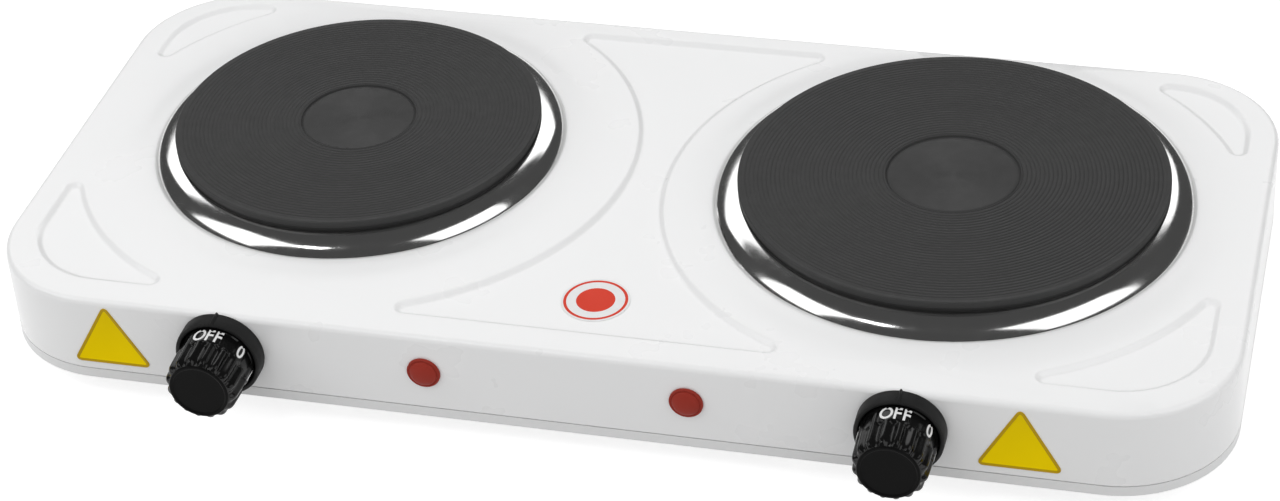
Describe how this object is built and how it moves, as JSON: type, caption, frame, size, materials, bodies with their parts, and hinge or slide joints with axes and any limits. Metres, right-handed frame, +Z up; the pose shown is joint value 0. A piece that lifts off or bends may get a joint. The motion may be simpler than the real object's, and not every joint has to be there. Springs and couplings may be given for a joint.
{
  "type": "double electric hot plate",
  "caption": "Low white pressed-steel cooker with a small and a large cast hot plate in polished rings, two front knobs and red pilot lamps, on rubber feet.",
  "frame": {"origin": "on the table under the middle of the whole object", "axes": "+X to the right along the casing, +Y to the back, +Z up; the knobs face -Y"},
  "size_m": [0.505, 0.27, 0.0616],
  "materials": {
    "casing_paint": "gloss white stoved paint on pressed steel",
    "pan_paint": "white paint on drawn steel",
    "plate_iron": "dark heat-proof coating with turned grooves",
    "ring_steel": "polished stainless sheet",
    "knob_plastic": "gloss black moulding",
    "bezel_plastic": "satin black moulding",
    "lens_red": "clear red moulding",
    "lamp_plastic": "white moulding",
    "plated_steel": "zinc plated",
    "ceramic": "unglazed steatite",
    "brass": "bright",
    "bush_plastic": "black moulding",
    "block_plastic": "cream moulding",
    "foot_rubber": "black rubber",
    "lead_live": "brown sleeve",
    "lead_neutral": "blue sleeve",
    "lead_earth": "green sleeve"
  },
  "bodies": {
    "chassis": {"base_pan": "pan_paint", "base_screws": "plated_steel", "casing_lugs": "plated_steel", "clamp_nuts": "plated_steel", "clamp_washers": "plated_steel", "cord_bush": "bush_plastic", "earth_lead": "lead_earth", "earth_nut": "brass", "earth_screw": "brass", "foot_nuts": "plated_steel", "foot_screws": "plated_steel", "front_left_foot": "foot_rubber", "front_right_foot": "foot_rubber", "heater_leads": "lead_live", "lamp_clips": "plated_steel", "lamp_leads": "lead_neutral", "large_clamp_bar": "plated_steel", "large_hot_plate": "plate_iron", "large_plate_cover": "plated_steel", "large_plate_stud": "plated_steel", "large_terminal_block": "ceramic", "large_terminal_tabs": "brass", "large_trim_ring": "ring_steel", "left_bimetal_leaf": "brass", "left_knob_bezel": "bezel_plastic", "left_lamp_body": "lamp_plastic", "left_lamp_lens": "lens_red", "left_thermostat_base": "ceramic", "left_thermostat_frame": "plated_steel", "live_leads": "lead_live", "mains_block": "block_plastic", "mains_screws": "brass", "neutral_leads": "lead_neutral", "rear_left_foot": "foot_rubber", "rear_right_foot": "foot_rubber", "right_bimetal_leaf": "brass", "right_knob_bezel": "bezel_plastic", "right_lamp_body": "lamp_plastic", "right_lamp_lens": "lens_red", "right_thermostat_base": "ceramic", "right_thermostat_frame": "plated_steel", "small_clamp_bar": "plated_steel", "small_hot_plate": "plate_iron", "small_plate_cover": "plated_steel", "small_plate_stud": "plated_steel", "small_terminal_block": "ceramic", "small_terminal_tabs": "brass", "small_trim_ring": "ring_steel", "thermostat_screws": "plated_steel", "top_casing": "casing_paint"},
    "left_control": {"left_knob": "knob_plastic", "left_shaft": "plated_steel"},
    "right_control": {"right_knob": "knob_plastic", "right_shaft": "plated_steel"}
  },
  "joints": [
    {"name": "left_knob_turn", "type": "hinge", "parent": "chassis", "child": "left_control", "pos_m": [-0.145, -0.107, 0.0322], "axis": [0, -1, 0], "range_deg": [0, 281.25]},
    {"name": "right_knob_turn", "type": "hinge", "parent": "chassis", "child": "right_control", "pos_m": [0.129, -0.107, 0.0322], "axis": [0, -1, 0], "range_deg": [0, 281.25]}
  ]
}
